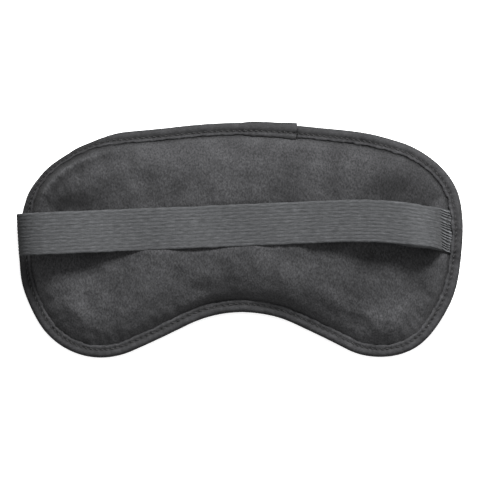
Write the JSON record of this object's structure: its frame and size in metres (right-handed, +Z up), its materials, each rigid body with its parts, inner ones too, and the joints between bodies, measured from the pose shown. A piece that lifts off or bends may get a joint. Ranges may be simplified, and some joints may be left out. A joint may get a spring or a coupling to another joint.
{
  "type": "eye pillow",
  "caption": "Contoured padded eye pillow with a plush face side, taped edge and a ribbed elastic head strap across the back of it.",
  "frame": {"origin": "on the surface the pillow lies on, below the middle of its outline", "axes": "+X towards the strap's tucked right end (longest extent), +Y towards the forehead edge, +Z up out of the face side"},
  "size_m": [0.2138, 0.1117, 0.0247],
  "materials": {
    "plush_cloth": "short-pile velour, matt with a soft nap sheen",
    "front_cloth": "short-pile velour, matt",
    "binding_tape": "folded woven tape, matt",
    "strap_elastic": "ribbed knitted elastic, matt",
    "dark_thread": "polyester sewing thread, slight sheen",
    "pouch_thread": "cotton sewing thread",
    "pouch_cotton": "plain woven cotton",
    "seed_fill": "loose glossy seeds"
  },
  "bodies": {
    "pillow": {"face_panel": "plush_cloth", "front_panel": "front_cloth", "edge_binding": "binding_tape", "inner_pouch_face": "pouch_cotton", "inner_pouch_front": "pouch_cotton", "seed_fill": "seed_fill", "pouch_seam_thread": "pouch_thread", "binding_needle_thread": "dark_thread", "binding_bobbin_thread": "dark_thread", "strap_right_rise": "strap_elastic", "strap_right_root": "strap_elastic", "strap_left_fall": "strap_elastic", "strap_left_tail": "strap_elastic", "strap_tack_right": "dark_thread", "strap_tack_left": "dark_thread"},
    "strap": {"strap_span": "strap_elastic"}
  },
  "joints": [
    {"name": "strap_lift", "type": "slide", "parent": "pillow", "child": "strap", "axis": [0, 0, 1], "range_m": [0, 0.06], "stiffness_N_per_m": 30, "deforming": ["strap_right_rise", "strap_left_fall"]}
  ]
}
